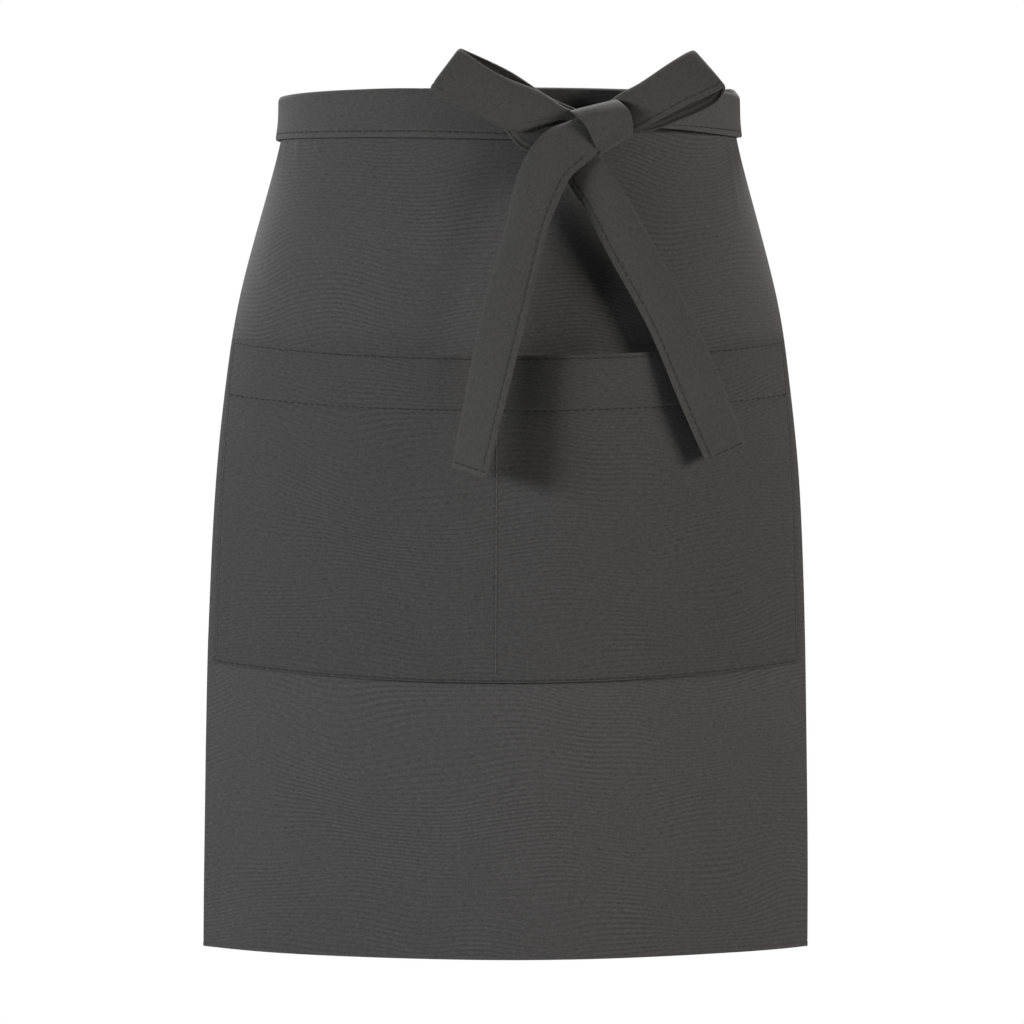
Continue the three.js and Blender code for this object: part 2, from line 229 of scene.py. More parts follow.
TAIL_RIGHT = [
    Section((49, -110, -15), (61, -110, -14), 0),
    Section((34.5, -113, -38.5), (53.6, -113, -27.2), 1.5),
    Section((45, -115, -59), (65.3, -113.5, -47.4), 2.5),
    Section((58.4, -116, -85.6), (81.3, -111, -74.8), 2),
    Section((81.4, -114, -127.6), (104.5, -106, -117.5), 1),
    Section((99.5, -112, -170.8), (122.8, -104, -157), 0.5),
    Section((114.1, -107, -202.9), (136.4, -96, -192.5), 0),
]

# Knot: the tie wrapped once round the bow, from its left edge to its right edge, top to bottom
Wrap = namedtuple("Wrap", "left right front back")
KNOT = [
    Wrap((35.8, -2.4), (62.7, 4.2), -112, -108),
    Wrap((37.5, -4.4), (65, 2.4), -118.5, -101),
    Wrap((44.4, -11.6), (69.7, -3.1), -122, -98),
    Wrap((49.3, -21.5), (72.2, -10.4), -119.5, -99.5),
    Wrap((52.2, -26.8), (72.3, -14.6), -115.5, -103),
    Wrap((53, -28.3), (72.3, -16), -111, -108),
]

# Rings along a stitch, as shares of its length, its radius and how far it stands proud
Twist = namedtuple("Twist", "along thick rise")
STITCH_RINGS = [
    Twist(-0.5, 0.35, -0.9),
    Twist(-0.32, 0.9, 0.1),
    Twist(0, 1, 0.35),
    Twist(0.32, 0.9, 0.1),
    Twist(0.5, 0.35, -0.9),
]
STITCH_SIDES = 6

# Stretch of each ribbon where its seam shows, and how far short of the knot the seams of the ties stop
SEAM_SHOWS = {"loop_right": (0.12, 0.9), "tail_left": (0.25, 0.99), "tail_right": (0.2, 0.99)}
SEAM_STOPS = {"tie_left": 16, "tie_right": 12}

# Where the other stitch lines start and end, and the points that each line is followed by
UPRIGHT_SPAN = (0.03, 1.97)
TAIL_END_SPAN = (0.04, 0.96)
TIE_SEAM_START = 1
LINE_POINTS = {"pocket": 160, "upright": 90, "tie": 150, "ribbon": 90, "tail_end": 30}

# Weave: the pitch of the threads and of the bars that they make, and how the bars lean, come and go
THREAD_PITCH = 0.8
BAR_PITCH = 2.7
BAR_LEAN = 105
BAR_SHOW = {"mean": 0.7, "swing": 2}

# Patches of grain for each millimetre, and the weight of each part in tone, relief and roughness
GRAIN = {"along_thread": 0.3, "across_thread": 1.5, "lean": 0.008, "show": 0.02, "mottle": 0.03}
TONE = {"warp": 0.7, "mottle": 0.12}
RELIEF = {"threads": 0.35, "weft": 0.8, "warp": 0.5, "bars": 0.12}
ROUGHNESS = {"mean": 0.92, "mottle": 0.1}

# Studio, in metres, with the lens and the sensor in millimetres
FLOOR_SIZE = 3.6
FLOOR_HEIGHT = -1.02
LIGHT_DISTANCE = 2.2
LIGHT_AIM = (0, -0.1, -0.23)
CAMERA_PLACE = (0.00295, -3.37, -0.2315)
CAMERA_LENS = 200.8
CAMERA_SENSOR = 36


# Tables
def along(keys, values, at):
    """Smooth value at a place along rising keys; values may be numbers or points."""
    last = len(keys) - 1
    at = min(max(at, keys[0]), keys[last])
    i = 0
    while i < last - 1 and keys[i + 1] < at:
        i += 1

    def slope(j):
        before, after = max(j - 1, 0), min(j + 1, last)
        return (values[after] - values[before]) / (keys[after] - keys[before])

    run = keys[i + 1] - keys[i]
    t = (at - keys[i]) / run
    rise = t * t * (3 - 2 * t)
    ease = t * (1 - t) * (1 - t) * run * slope(i) + t * t * (t - 1) * run * slope(i + 1)
    return values[i] * (1 - rise) + values[i + 1] * rise + ease


def column(rows, name):
    """One column of a table as an array."""
    return np.array([getattr(row, name) for row in rows], dtype=float)


class Table:
    """A table whose first column is the key of the others."""

    def __init__(self, rows):
        key, *names = rows[0]._fields
        self.keys = column(rows, key)
        self.columns = {name: column(rows, name) for name in names}

    def at(self, name, place):
        return along(self.keys, self.columns[name], place)


levels = Table(LEVELS)
band_edge = Table(BAND_EDGE)


def dip(line, across):
    return line.middle + (line.side - line.middle) * min(1, (across / line.half) ** 2)


# Surfaces of the worn form
ANGLES = np.linspace(0, 2 * math.pi, 721)


def ring(z):
    """Half axes and middle at a height, and the length round the ring from the middle of the front."""
    half_width, half_depth = levels.at("half_width", z), levels.at("half_depth", z)
    middle = half_depth - levels.at("front", z)
    steps = np.hypot(half_width * np.diff(np.sin(ANGLES)), half_depth * np.diff(np.cos(ANGLES)))
    return half_width, half_depth, middle, np.concatenate(([0], np.cumsum(steps)))


rings = {}


def ring_at(z):
    key = round(z, 2)
    if key not in rings:
        rings[key] = ring(key)
    return rings[key]


def wrap_point(turn, z, out):
    """Point at a share of the way round from the middle of the front."""
    half_width, half_depth, middle, lengths = ring_at(z)
    angle = np.interp((turn % 1) * lengths[-1], lengths, ANGLES)
    x, y = half_width * math.sin(angle), -half_depth * math.cos(angle)
    normal = Vector((x / half_width**2, y / half_depth**2)).normalized()
    side = SWAY["waist"] + (SWAY["hem"] - SWAY["waist"]) * z / HEM
    return Vector((side + x + normal.x * out, middle + y + normal.y * out, z))


GIRTH = ring_at(0)[-1][-1]


def wave(shape, u, v, seed):
    return shape.height * noise.noise(Vector((u / shape.along, v / shape.across, seed)))


def drape(across, z):
    """How far the folds push the skirt's cloth out."""
    total = 0
    for fold in FOLDS:
        side = (across - fold.across) / fold.half_width
        down = (fold.high - z) / (fold.high - fold.low)
        if abs(side) < 1 and 0 < down < 1:
            total += fold.depth * math.cos(math.pi / 2 * side) ** 2 * math.sin(math.pi * down) ** 2
    return total


def skirt_point(across, z, out=0):
    broad = wave(SKIRT_WAVE, across, z, SKIRT_SEED["wave"])
    soft = broad + wave(SKIRT_RIPPLE, across, z, SKIRT_SEED["ripple"])
    below_band = min(1, max(0, (WAVES["start"] - z) / (WAVES["start"] - WAVES["full"])))
    turn = across / ring_at(z)[-1][-1]
    return wrap_point(turn, z, out + drape(across, z) + soft * below_band)


def pocket_gape(across, share):
    half = POCKET_HALVES[0] if across <= POCKET_MIDDLE else POCKET_HALVES[1]
    side = half.start if across < half.peak else half.end
    inward = (across - side) / (half.peak - side)
    return half.gape * math.sin(math.pi / 2 * inward) ** 2 * share**2


def pocket_height(across, share):
    """Height on the pocket: share 0 is the foot, 1 the hem's stitch row and 2 the mouth."""
    foot, stitch, mouth = (dip(line, across) for line in (POCKET_FOOT, POCKET_STITCH, POCKET_MOUTH))
    return foot + (stitch - foot) * share if share < 1 else stitch + (mouth - stitch) * (share - 1)


def edge_roll(distance, height):
    """Relief of a turned edge: a soft strip as far as its seam, and a groove along the seam."""
    strip = math.sin(math.pi * distance / EDGE_SEAM) if distance < EDGE_SEAM else 0
    groove = EDGE_GROOVE["share"] * math.exp(-(((distance - EDGE_SEAM) / EDGE_GROOVE["fade"]) ** 2))
    return height * (strip - groove)


def pocket_point(across, share, out=0):
    z = pocket_height(across, share)
    foot, mouth = dip(POCKET_FOOT, across), dip(POCKET_MOUTH, across)
    stand_off = GAP + pocket_gape(across, (z - foot) / (mouth - foot))
    hem = POCKET_HEM["proud"] if share > POCKET_HEM["start"] else 0
    pull = POCKET_HEM["pucker"]
    pucker = 1 - pull + pull * math.cos(2 * math.pi * across / STITCH["pitch"])
    groove = POCKET_HEM["groove"] * pucker * math.exp(-(((share - 1) / POCKET_HEM["fade"]) ** 2))
    side_edge = edge_roll(POCKET_WIDTH / 2 - abs(across), EDGE_HEIGHT["pocket_side"])
    turned = side_edge + edge_roll(z - foot, EDGE_HEIGHT["pocket_foot"])
    return skirt_point(across, z, stand_off + CLOTH + hem - groove + turned + out)


def tie_section(distance, seam):
    """Relief of a tie at a distance from its nearer edge: a round shoulder, and a groove at a seam."""
    shoulder = TIE_RELIEF["shoulder"] * max(0, 1 - distance / TIE_RELIEF["round"]) ** 2
    if not seam:
        return -shoulder
    return -shoulder - TIE_RELIEF["groove"] * math.exp(-(((distance - EDGE_SEAM) / TIE_RELIEF["fade"]) ** 2))


def edge_steps(width, count):
    """Places across a cloth, close together at its turned edges."""
    near = np.array(EDGE_ROWS)
    inside = np.linspace(EDGE_ZONE, width - EDGE_ZONE, count)
    return np.concatenate((near, inside, width - near[::-1]))


TIE_SHARES = edge_steps(TIE_WIDTH, TIE_COLUMNS) / TIE_WIDTH
SEAM_SHARE = EDGE_SEAM / TIE_WIDTH


def tie_point(route, side, way, share, out=0):
    """Point on a tie that goes round the waist; share 0 is its seamed lower edge."""
    turn = side * (SKIRT_WIDTH / 2 + GAP + way) / GIRTH
    z = route.at("middle", way) + (share - 0.5) * route.at("wide", way)
    soft = wave(TIE_WAVE, way, share * TIE_WIDTH, side)
    relief = tie_section(min(share, 1 - share) * TIE_WIDTH, share < 0.5)
    return wrap_point(turn, z, route.at("lift", way) + soft + relief + out)


class Ribbon:
    """A piece of tie through the sections of a table."""

    def __init__(self, rows, seed, seam_share):
        self.keys = np.arange(len(rows), dtype=float)
        self.edge, self.far_edge, self.crown = (column(rows, name) for name in Section._fields)
        self.last = len(rows) - 1
        self.seed = seed
        self.seam_share = seam_share
        middles = [self.edges(t)[0] + self.edges(t)[1] for t in np.linspace(0, 1, 60)]
        self.length = sum(np.linalg.norm(b - a) / 2 for a, b in zip(middles, middles[1:]))

    def edges(self, t):
        place = t * self.last
        return along(self.keys, self.edge, place), along(self.keys, self.far_edge, place)

    def point(self, t, share, out=0):
        near = 0.004
        edge, far_edge = self.edges(t)
        ahead = sum(self.edges(min(1, t + near))) - sum(self.edges(max(0, t - near)))
        across = far_edge - edge
        normal = Vector(np.cross(ahead, across)).normalized()
        crown = along(self.keys, self.crown, t * self.last) * 4 * share * (1 - share)
        soft = wave(BOW_WAVE, t * self.length, share * TIE_WIDTH, self.seed)
        relief = tie_section(min(share, 1 - share) * TIE_WIDTH, abs(share - self.seam_share) < 0.5)
        return Vector(edge + across * share) + normal * (crown + soft + relief + out)


# Meshes
def clear_selection():
    bpy.ops.object.select_all(action="DESELECT")


def add_modifier(obj, kind, **settings):
    """Adds a modifier with its settings and applies it."""
    bpy.context.view_layer.objects.active = obj
    bpy.ops.object.modifier_add(type=kind)
    modifier = obj.modifiers[-1]
    for name, value in settings.items():
        setattr(modifier, name, value)
    bpy.ops.object.modifier_apply(modifier=modifier.name)


def length_along(points):
    """Length from the first of a row of points to each one."""
    steps = np.linalg.norm(np.diff(points, axis=0), axis=1)
    return np.concatenate(([0], np.cumsum(steps)))


def cloth_sheet(name, us, vs, place, thick, side, closed=False, smooth=0):
    """A grid laid out by place(u, v), with a UV map in metres of cloth and a wall thickness."""
    clear_selection()
    bpy.ops.mesh.primitive_grid_add(x_subdivisions=len(us) - 1, y_subdivisions=len(vs) - 1, size=1)
    sheet = bpy.context.object
    sheet.name = sheet.data.name = name
    mesh = sheet.data
    spots = np.empty(len(mesh.vertices) * 3)
    mesh.vertices.foreach_get("co", spots)
    shares = spots.reshape(-1, 3)[:, :2] + 0.5
    columns = np.rint(shares[:, 0] * (len(us) - 1)).astype(int)
    rows = np.rint(shares[:, 1] * (len(vs) - 1)).astype(int)
    points = np.array([[place(u, v) for v in vs] for u in us]) * MM
    mesh.vertices.foreach_set("co", points[columns, rows].ravel())
    corners = np.empty(len(mesh.loops), dtype=int)
    mesh.loops.foreach_get("vertex_index", corners)
    cut_u = length_along(points[:, len(vs) // 2])
    cut_v = length_along(points[len(us) // 2])
    uv = np.column_stack((cut_u[columns[corners]], cut_v[rows[corners]]))
    mesh.uv_layers[0].uv.foreach_set("vector", uv.astype(np.float32).ravel())
    mesh.update()
    if closed:
        bpy.ops.object.mode_set(mode="EDIT")
        bpy.ops.mesh.select_all(action="SELECT")
        bpy.ops.mesh.remove_doubles(threshold=MERGE_DISTANCE * MM)
        bpy.ops.object.mode_set(mode="OBJECT")
    add_modifier(sheet, "SOLIDIFY", thickness=thick * MM, offset=side, use_even_offset=True)
    if smooth:
        add_modifier(sheet, "SUBSURF", levels=smooth, render_levels=smooth)
    bpy.ops.object.shade_smooth_by_angle(angle=math.radians(SMOOTH_ANGLE))
    return sheet


def thread_shape(length):
    """One stitch along X: rings of a short thread that dives into the cloth at both ends."""
    sides = STITCH_SIDES
    radius = STITCH["width"] / 2
    points, faces = [], []
    for spot in STITCH_RINGS:
        for k in range(sides):
            turn = 2 * math.pi * k / sides
            y = spot.thick * radius * math.cos(turn)
            z = spot.thick * radius * math.sin(turn) + spot.rise * STITCH["proud"]
            points.append((spot.along * length, y, z))
    for i in range(len(STITCH_RINGS) - 1):
        for k in range(sides):
            a, b = i * sides + k, i * sides + (k + 1) % sides
            faces.append((a, a + sides, b + sides, b))
    faces.append(tuple(range(sides)))
    faces.append(tuple(range(len(points) - 1, len(points) - 1 - sides, -1)))
    return np.array(points), faces


def stitch_row(name, lines, length):
    """Stitches along lines of (point, point on the outside) pairs, joined in one mesh."""
    shape, shape_faces = thread_shape(length)
    points, faces = [], []
    for line in lines:
        path = [Vector(p) for p, _ in line]
        lifted = [Vector(q) for _, q in line]
        lengths = np.concatenate(([0], np.cumsum([(b - a).length for a, b in zip(path, path[1:])])))
        count = int(lengths[-1] / STITCH["pitch"])
        for k in range(count):
            at = (k + 0.5) * lengths[-1] / count
            i = min(int(np.searchsorted(lengths, at)) - 1, len(path) - 2)
            share = (at - lengths[i]) / (lengths[i + 1] - lengths[i])
            spot = path[i].lerp(path[i + 1], share)
            out = (lifted[i] - path[i]).normalized()
            ahead = (path[i + 1] - path[i]).normalized()
            across = out.cross(ahead).normalized()
            axes = np.array([ahead, across, ahead.cross(across)])
            start = len(points) * len(shape)
            points.append(np.array(spot) + shape @ axes)
            faces.extend(tuple(start + v for v in face) for face in shape_faces)
    mesh = bpy.data.meshes.new(name)
    mesh.from_pydata((np.concatenate(points) * MM).tolist(), [], faces)
    mesh.update()
    row = bpy.data.objects.new(name, mesh)
    bpy.context.scene.collection.objects.link(row)
    for face in mesh.polygons:
        face.use_smooth = True
    return row


def seam_line(point, us, v):
    """Line for stitches on a surface at one value of its second coordinate."""
    return [(point(u, v, 0), point(u, v, 1)) for u in us]


# Shader sums
class Shade:
    """A node socket that takes part in Python sums."""

    def __init__(self, tree, socket=None):
        self.tree = tree
        self.socket = socket

    def node(self, kind, settings, inputs, output=0):
        made = self.tree.nodes.new(kind)
        for name, value in settings.items():
            setattr(made, name, value)
        for name, value in inputs.items():
            if isinstance(value, Shade):
                self.tree.links.new(value.socket, made.inputs[name])
            else:
                made.inputs[name].default_value = value
        return Shade(self.tree, made.outputs[output])

    def math(self, operation, *values):
        return self.node("ShaderNodeMath", {"operation": operation}, dict(enumerate(values)))

    def __add__(self, other):
        return self.math("ADD", self, other)

    def __mul__(self, other):
        return self.math("MULTIPLY", self, other)

    def __sub__(self, other):
        return self.math("SUBTRACT", self, other)

    def __rsub__(self, other):
        return self.math("SUBTRACT", other, self)

    __radd__ = __add__
    __rmul__ = __mul__


def new_material(name):
    material = bpy.data.materials.new(name)
    material.use_nodes = True
    return material, Shade(material.node_tree), material.node_tree.nodes["Principled BSDF"]


def woven_cloth(name, tint, bars, slub):
    """Matt plain weave: threads in relief, slubs, soft mottling and leaning bars that come and go."""
    material, shade, shader = new_material(name)
    place = shade.node("ShaderNodeUVMap", {"uv_map": "UVMap"}, {})
    u, v = (shade.node("ShaderNodeSeparateXYZ", {}, {"Vector": place}, part) * (1 / MM) for part in (0, 1))

    def grain(across, up, detail=1.0):
        spot = shade.node("ShaderNodeCombineXYZ", {}, {"X": u * across, "Y": v * up})
        inputs = {"Vector": spot, "Scale": 1.0, "Detail": detail, "Roughness": 0.6}
        return shade.node("ShaderNodeTexNoise", {"noise_dimensions": "2D"}, inputs) - 0.5

    def ribs(phase):
        return shade.math("SINE", phase)

    thread_turn = 2 * math.pi / THREAD_PITCH
    lean = grain(GRAIN["lean"], GRAIN["lean"])
    comes_and_goes = grain(GRAIN["show"], GRAIN["show"]) * BAR_SHOW["swing"] + BAR_SHOW["mean"]
    weft_bars = ribs(v * (2 * math.pi / BAR_PITCH) + lean * BAR_LEAN) * comes_and_goes
    weft = grain(GRAIN["along_thread"], GRAIN["across_thread"])
    warp = grain(GRAIN["across_thread"], GRAIN["along_thread"])
    mottle = grain(GRAIN["mottle"], GRAIN["mottle"], detail=3.0)
    tone = 1 + weft_bars * bars + weft * slub + warp * (TONE["warp"] * slub) + mottle * TONE["mottle"]
    colour = shade.node("ShaderNodeVectorMath", {"operation": "SCALE"}, {0: tint, "Scale": tone})
    threads = ribs(u * thread_turn) * ribs(v * thread_turn)
    relief = threads * RELIEF["threads"] + weft * RELIEF["weft"]
    relief = relief + warp * RELIEF["warp"] + weft_bars * RELIEF["bars"]
    bump = shade.node("ShaderNodeBump", {}, {"Strength": 0.35, "Distance": 0.00025, "Height": relief})
    link = material.node_tree.links.new
    link(colour.socket, shader.inputs["Base Color"])
    link(bump.socket, shader.inputs["Normal"])
    link((ROUGHNESS["mean"] + mottle * ROUGHNESS["mottle"]).socket, shader.inputs["Roughness"])
    shader.inputs["Specular IOR Level"].default_value = 0.18
    shader.inputs["Sheen Weight"].default_value = 0.12
    shader.inputs["Sheen Roughness"].default_value = 0.45
    shader.inputs["Sheen Tint"].default_value = (0.8, 0.8, 0.82, 1)
    return material


def sewing_thread(name, tint):
    """Twisted sewing thread with a fine grain."""
    material, shade, shader = new_material(name)
    place = shade.node("ShaderNodeTexCoord", {}, {}, "Object")
    twist = shade.node("ShaderNodeTexNoise", {}, {"Vector": place, "Scale": 2600.0, "Detail": 1.0}) - 0.5
    colour = shade.node("ShaderNodeVectorMath", {"operation": "SCALE"}, {0: tint, "Scale": 1 + twist * 0.4})
    bump = shade.node("ShaderNodeBump", {}, {"Strength": 0.4, "Distance": 0.0001, "Height": twist})
    material.node_tree.links.new(colour.socket, shader.inputs["Base Color"])
    material.node_tree.links.new(bump.socket, shader.inputs["Normal"])
    shader.inputs["Roughness"].default_value = 0.8
    shader.inputs["Specular IOR Level"].default_value = 0.25
    return material


def floor_paper(name):
    material, shade, shader = new_material(name)
    place = shade.node("ShaderNodeTexCoord", {}, {}, "Object")
    grain = shade.node("ShaderNodeTexNoise", {}, {"Vector": place, "Scale": 6.0, "Detail": 3.0})
    tones = {6: (0.86, 0.86, 0.86, 1), 7: (0.9, 0.9, 0.9, 1)}
    pale = shade.node("ShaderNodeMix", {"data_type": "RGBA"}, {0: grain, **tones}, 2)
    material.node_tree.links.new(pale.socket, shader.inputs["Base Color"])
    shader.inputs["Roughness"].default_value = 0.9
    return material


APRON_CLOTH = woven_cloth("apron_cloth", tint=(0.078, 0.0762, 0.0766), bars=0.13, slub=0.6)
POCKET_CLOTH = woven_cloth("pocket_cloth", tint=(0.0668, 0.0653, 0.0656), bars=0.1, slub=0.6)
# The ties round the waist get a lighter copy of the bow's cloth, though both are the same strap: painted
# light where the ties lie along the band.
TIE_CLOTH_PAINTED_LIGHTER = woven_cloth("tie_cloth", tint=(0.0808, 0.079, 0.0782), bars=0.02, slub=0.55)
BOW_CLOTH = woven_cloth("bow_cloth", tint=(0.0693, 0.0677, 0.0662), bars=0.02, slub=0.55)
# The two dark threads are real stitches. They are made darker than the cloth so that they also carry painted
# shade for the shadow in their seam grooves.
THREAD = sewing_thread("sewing_thread", tint=(0.034, 0.033, 0.0325))
TIE_THREAD = sewing_thread("tie_thread", tint=(0.042, 0.041, 0.0405))
PALE_THREAD = sewing_thread("pale_thread", tint=(0.09, 0.088, 0.087))


# Pieces
def finish_piece(piece, material, slot, *nodes):
    piece.data.materials.clear()
    piece.data.materials.append(material)
    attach(piece, "root")
    if nodes:
        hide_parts(*nodes)


def skirt_panel():
    columns, rows = SKIRT_GRID
    across = edge_steps(SKIRT_WIDTH, columns) - SKIRT_WIDTH / 2
    length = SKIRT_TOP - HEM
    heights = np.concatenate((edge_steps(length, rows)[:len(EDGE_ROWS) + rows], [length]))

    def place(u, up):
        z = HEM + up + (dip(HEM_EDGE, u) - HEM) * (1 - up / length)
        side_edge = edge_roll(SKIRT_WIDTH / 2 - abs(u), EDGE_HEIGHT["skirt_side"])
        return skirt_point(u, z, edge_roll(up, EDGE_HEIGHT["skirt_hem"]) + side_edge)

    flat = (SKIRT_WIDTH * MM, length * MM)
    return cloth_sheet("skirt", across, heights, place, CLOTH, -1), flat


def pocket_panel():
    columns, rows = POCKET_GRID
    across = edge_steps(POCKET_WIDTH, columns) - POCKET_WIDTH / 2
    near_foot = np.array(EDGE_ROWS) / (POCKET_STITCH.middle - POCKET_FOOT.middle)
    panel = np.linspace(*POCKET_PANEL_SPAN, rows)
    hem = np.linspace(*POCKET_HEM_SPAN, POCKET_HEM_ROWS)
    shares = np.concatenate((near_foot, panel, POCKET_STITCH_ROWS, hem))
    flat = (POCKET_WIDTH * MM, (POCKET_MOUTH.middle - POCKET_FOOT.middle) * MM)
    return cloth_sheet("pocket", across, shares, pocket_point, CLOTH, -1), flat


def waistband():
    """One strip folded over the skirt's top edge; v runs up the outside and down the inside."""
    slot = CLOTH / 2 + GAP + CLOTH / 2
    fold_height = BAND_TOP - slot - CLOTH / 2
    across = np.linspace(-SKIRT_WIDTH / 2, SKIRT_WIDTH / 2, BAND_COLUMNS)
    outside = np.linspace(0, BAND_SIDE, BAND_SIDE_ROWS)
    over_the_top = np.linspace(*BAND_TOP_SPAN, BAND_TOP_ROWS)
    inside = np.linspace(1 - BAND_SIDE, 1, BAND_SIDE_ROWS)
    shares = np.concatenate((outside, over_the_top, inside))

    def place(u, share):
        edge = band_edge.at("z", u)
        wing = min(share, 1 - share)
        if wing < BAND_SIDE:
            z = edge + (fold_height - edge) * wing / BAND_SIDE
            out = slot if share < 0.5 else -slot
        else:
            turn = math.pi * (share - BAND_SIDE) / BAND_TURN
            z, out = fold_height + slot * math.sin(turn), slot * math.cos(turn)
        return wrap_point(u / GIRTH, z, out - CLOTH / 2)

    flat = (SKIRT_WIDTH * MM, 2 * BAND_WIDTH * MM)
    return cloth_sheet("waistband_fold", across, shares, place, CLOTH, 0), flat


def waist_tie(name, rows, side):
    route = Table(rows)
    length = rows[-1].way
    ways = np.linspace(0, length, int(length / TIE_STEP))
    if side < 0:
        ways = ways[::-1]

    def place(way, share, out=0):
        return tie_point(route, side, way, share, out)

    flat = (length * MM, TIE_WIDTH * MM)
    return cloth_sheet(name, ways, TIE_SHARES, place, TIE_CLOTH, 0, smooth=1), flat, place, length


def bow_ribbon(name, rows, seed, seam_share):
    ribbon = Ribbon(rows, seed, seam_share)
    ts = np.linspace(0, 1, int(ribbon.length / BOW_STEP))
    flat = (ribbon.length * MM, TIE_WIDTH * MM)
    return cloth_sheet(name, ts, TIE_SHARES, ribbon.point, TIE_CLOTH, 0, smooth=1), flat, ribbon


def knot_wrap():
    keys = np.linspace(0, 1, len(KNOT))
    left, right, front, back = (column(KNOT, name) for name in Wrap._fields)

    def place(around, share):
        down = 2 * around if around <= 0.5 else 2 - 2 * around
        start, end = along(keys, left, down), along(keys, right, down)
        depth = along(keys, front if around <= 0.5 else back, down)
        x, z = start + (end - start) * share
        swell = KNOT_RELIEF["swell"] * math.sin(math.pi * share) if around <= 0.5 else 0
        from_roll = (share - KNOT_RELIEF["roll_at"]) / KNOT_RELIEF["fade"]
        roll = KNOT_RELIEF["roll"] * math.exp(-(from_roll**2))
        return Vector((x, depth - swell - roll, z))

    arounds, shares = (np.linspace(0, 1, count) for count in KNOT_GRID)
    return cloth_sheet("knot", arounds, shares, place, TIE_CLOTH, -1, closed=True, smooth=1)


skirt, skirt_flat = skirt_panel()
pocket, pocket_flat = pocket_panel()
band, band_flat = waistband()
tie_left, tie_left_flat, left_point, left_length = waist_tie("tie_from_left", TIE_LEFT_ROUTE, -1)
tie_right, tie_right_flat, right_point, right_length = waist_tie("tie_from_right", TIE_RIGHT_ROUTE, 1)
loop_left, loop_left_flat, _ = bow_ribbon("loop_at_left", LOOP_LEFT, BOW_SEED["loop_left"], 1 - SEAM_SHARE)
loop_right, loop_right_flat, loop_right_ribbon = bow_ribbon(
    "loop_at_right", LOOP_RIGHT, BOW_SEED["loop_right"], SEAM_SHARE
)
tail_left, tail_left_flat, tail_left_ribbon = bow_ribbon(
    "tail_at_left", TAIL_LEFT, BOW_SEED["tail_left"], 1 - SEAM_SHARE
)
tail_right, tail_right_flat, tail_right_ribbon = bow_ribbon(
    "tail_at_right", TAIL_RIGHT, BOW_SEED["tail_right"], SEAM_SHARE
)
knot = knot_wrap()

finish_piece(skirt, APRON_CLOTH, "apron_cloth", "skirt_panel")
finish_piece(pocket, POCKET_CLOTH, "apron_cloth", "pocket_panel")
finish_piece(band, APRON_CLOTH, "apron_cloth", "waistband")
# The ties take the lighter copy of the tie cloth, painted light, while the bow pieces below take the darker
# one.
finish_piece(tie_left, TIE_CLOTH_PAINTED_LIGHTER, "tie_cloth", "tie_left")
finish_piece(tie_right, TIE_CLOTH_PAINTED_LIGHTER, "tie_cloth", "tie_right")
for piece, node in (
    (knot, "bow_knot"),
    (loop_left, "bow_loop_left"),
    (loop_right, "bow_loop_right"),
    (tail_left, "tail_left"),
    (tail_right, "tail_right"),
):
    finish_piece(piece, BOW_CLOTH, "tie_cloth", node)


# Stitch rows
TIE_TOP = TIE_CLOTH / 2


def up_the_pocket(across):
    shares = np.linspace(*UPRIGHT_SPAN, LINE_POINTS["upright"])
    return [(pocket_point(across, share, 0), pocket_point(across, share, 1)) for share in shares]


def on_tie(point, spots):
    """Line for stitches on the outer face of a tie, at pairs of its two coordinates."""
    return [(point(t, share, TIE_TOP), point(t, share, TIE_TOP + 1)) for t, share in spots]


def ribbon_seam(ribbon, start, end):
    ts = np.linspace(start, end, LINE_POINTS["ribbon"])
    return on_tie(ribbon.point, [(t, ribbon.seam_share) for t in ts])


def ribbon_end(ribbon):
    t = 1 - END_SEAM / ribbon.length
    shares = np.linspace(*TAIL_END_SPAN, LINE_POINTS["tail_end"])
    return on_tie(ribbon.point, [(t, share) for share in shares])


def tie_seam(point, end):
    ways = np.linspace(TIE_SEAM_START, end, LINE_POINTS["tie"])
    return on_tie(point, [(way, SEAM_SHARE) for way in ways])


pocket_side = POCKET_WIDTH / 2 - EDGE_SEAM
pocket_across = np.linspace(-pocket_side, pocket_side, LINE_POINTS["pocket"])
hem_row = [seam_line(pocket_point, pocket_across, 1)]
# Rows along the pocket's foot and mouth are real stitches in dark thread, set almost end to end. They also
# paint a dark line, painted shade for the shadow under the foot's edge and in the mouth's gap.
edge_shares = (POCKET_FOOT_ROW, POCKET_MOUTH_ROW)
edge_rows = [seam_line(pocket_point, pocket_across, share) for share in edge_shares]
upright_rows = [up_the_pocket(x) for x in (-pocket_side, POCKET_MIDDLE, pocket_side)]
tie_rows = [
    tie_seam(right_point, right_length - SEAM_STOPS["tie_right"]),
    tie_seam(left_point, left_length - SEAM_STOPS["tie_left"]),
    ribbon_seam(loop_right_ribbon, *SEAM_SHOWS["loop_right"]),
    ribbon_seam(tail_left_ribbon, *SEAM_SHOWS["tail_left"]),
    ribbon_seam(tail_right_ribbon, *SEAM_SHOWS["tail_right"]),
    ribbon_end(tail_left_ribbon),
    ribbon_end(tail_right_ribbon),
]
pocket_stitches = stitch_row("pocket_stitches", hem_row, STITCH["open"])
pocket_edge_stitches = stitch_row("pocket_edge_stitches", edge_rows, STITCH["close"])
pocket_seams = stitch_row("pocket_seams", upright_rows, STITCH["close"])
tie_stitches = stitch_row("tie_stitches", tie_rows, STITCH["close"])
# Dark thread on the hem row and the ties' seams: real stitches that also carry painted shade for the shadow
# in their grooves.
finish_piece(pocket_stitches, THREAD, "apron_cloth")
finish_piece(pocket_edge_stitches, TIE_THREAD, "apron_cloth")
finish_piece(pocket_seams, PALE_THREAD, "apron_cloth")
finish_piece(tie_stitches, TIE_THREAD, "tie_cloth")


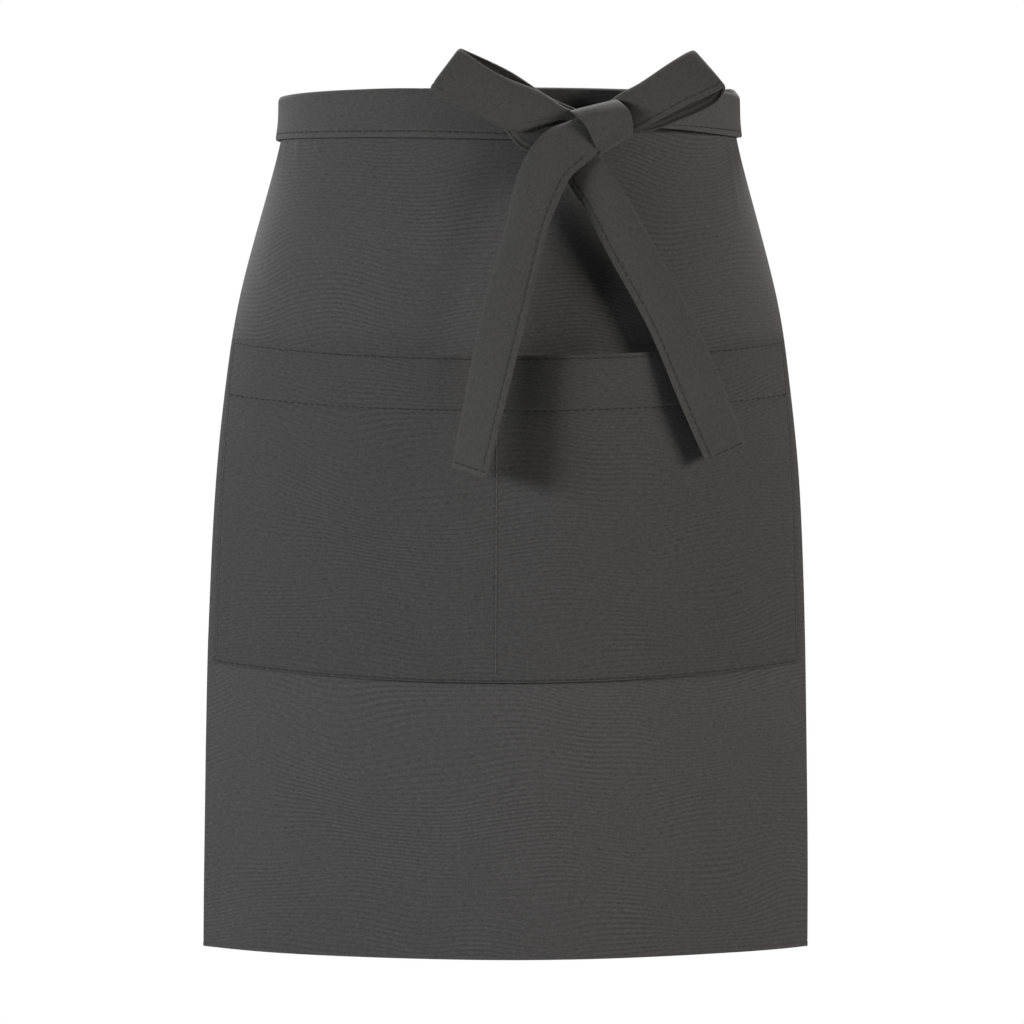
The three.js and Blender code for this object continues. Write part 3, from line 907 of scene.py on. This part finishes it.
# Studio
def studio_floor():
    """Pale floor, at the distance below the waist where a wearer stands."""
    clear_selection()
    bpy.ops.mesh.primitive_plane_add(size=FLOOR_SIZE, location=(0, 0, FLOOR_HEIGHT))
    floor = bpy.context.object
    floor.name = "studio_floor"
    bpy.ops.object.transform_apply(location=True, rotation=True, scale=True)
    floor.data.materials.append(floor_paper("floor_paper"))


def soft_light(name, azimuth, elevation, size, power, colour, spread=60):
    """Softbox aimed at the middle of the apron; azimuth is from the front, positive to the right."""
    data = bpy.data.lights.new(name, "AREA")
    data.shape = "RECTANGLE"
    data.size, data.size_y = size
    data.energy = power
    data.color = colour
    data.spread = math.radians(spread)
    light = bpy.data.objects.new(name, data)
    bpy.context.scene.collection.objects.link(light)
    turn, rise = math.radians(azimuth), math.radians(elevation)
    way = Vector((math.sin(turn) * math.cos(rise), -math.cos(turn) * math.cos(rise), math.sin(rise)))
    light.location = Vector(LIGHT_AIM) + way * LIGHT_DISTANCE
    light.rotation_euler = way.to_track_quat("Z", "Y").to_euler()


def studio_world(seen, fill):
    """White surround for the view, and a weaker even fill for the light that it gives."""
    world = bpy.data.worlds.new("studio_surround")
    world.use_nodes = True
    tree = world.node_tree
    shade = Shade(tree)
    tree.nodes.clear()
    ray = shade.node("ShaderNodeLightPath", {}, {}, "Is Camera Ray")
    lit = shade.node("ShaderNodeBackground", {}, {"Color": (1, 1, 1, 1), "Strength": fill})
    view = shade.node("ShaderNodeBackground", {}, {"Color": (1, 1, 1, 1), "Strength": seen})
    both = shade.node("ShaderNodeMixShader", {}, {0: ray, 1: lit, 2: view})
    out = tree.nodes.new("ShaderNodeOutputWorld")
    tree.links.new(both.socket, out.inputs["Surface"])
    bpy.context.scene.world = world


def photo_camera():
    """Level camera straight in front, a little below half the height of the apron."""
    data = bpy.data.cameras.new("camera")
    data.lens = CAMERA_LENS
    data.sensor_width = CAMERA_SENSOR
    camera = bpy.data.objects.new("camera", data)
    bpy.context.scene.collection.objects.link(camera)
    camera.location = CAMERA_PLACE
    camera.rotation_euler = (math.radians(90), 0, 0)
    bpy.context.scene.camera = camera


studio_floor()
soft_light("left_key", azimuth=-60, elevation=11, size=(0.85, 0.5), power=4.85, colour=(0.99, 0.995, 1))
soft_light("right_key", azimuth=67, elevation=11, size=(1.0, 0.6), power=4.25, colour=(1, 0.975, 0.93))
soft_light("left_rim", azimuth=-136, elevation=12, size=(0.6, 0.6), power=1.8, colour=(0.99, 1, 1))
soft_light("top_light", azimuth=180, elevation=68, size=(0.7, 0.7), power=34, colour=(1, 1, 1), spread=120)
studio_world(seen=1.0, fill=0.01)
photo_camera()
bpy.context.scene.view_settings.view_transform = "Standard"
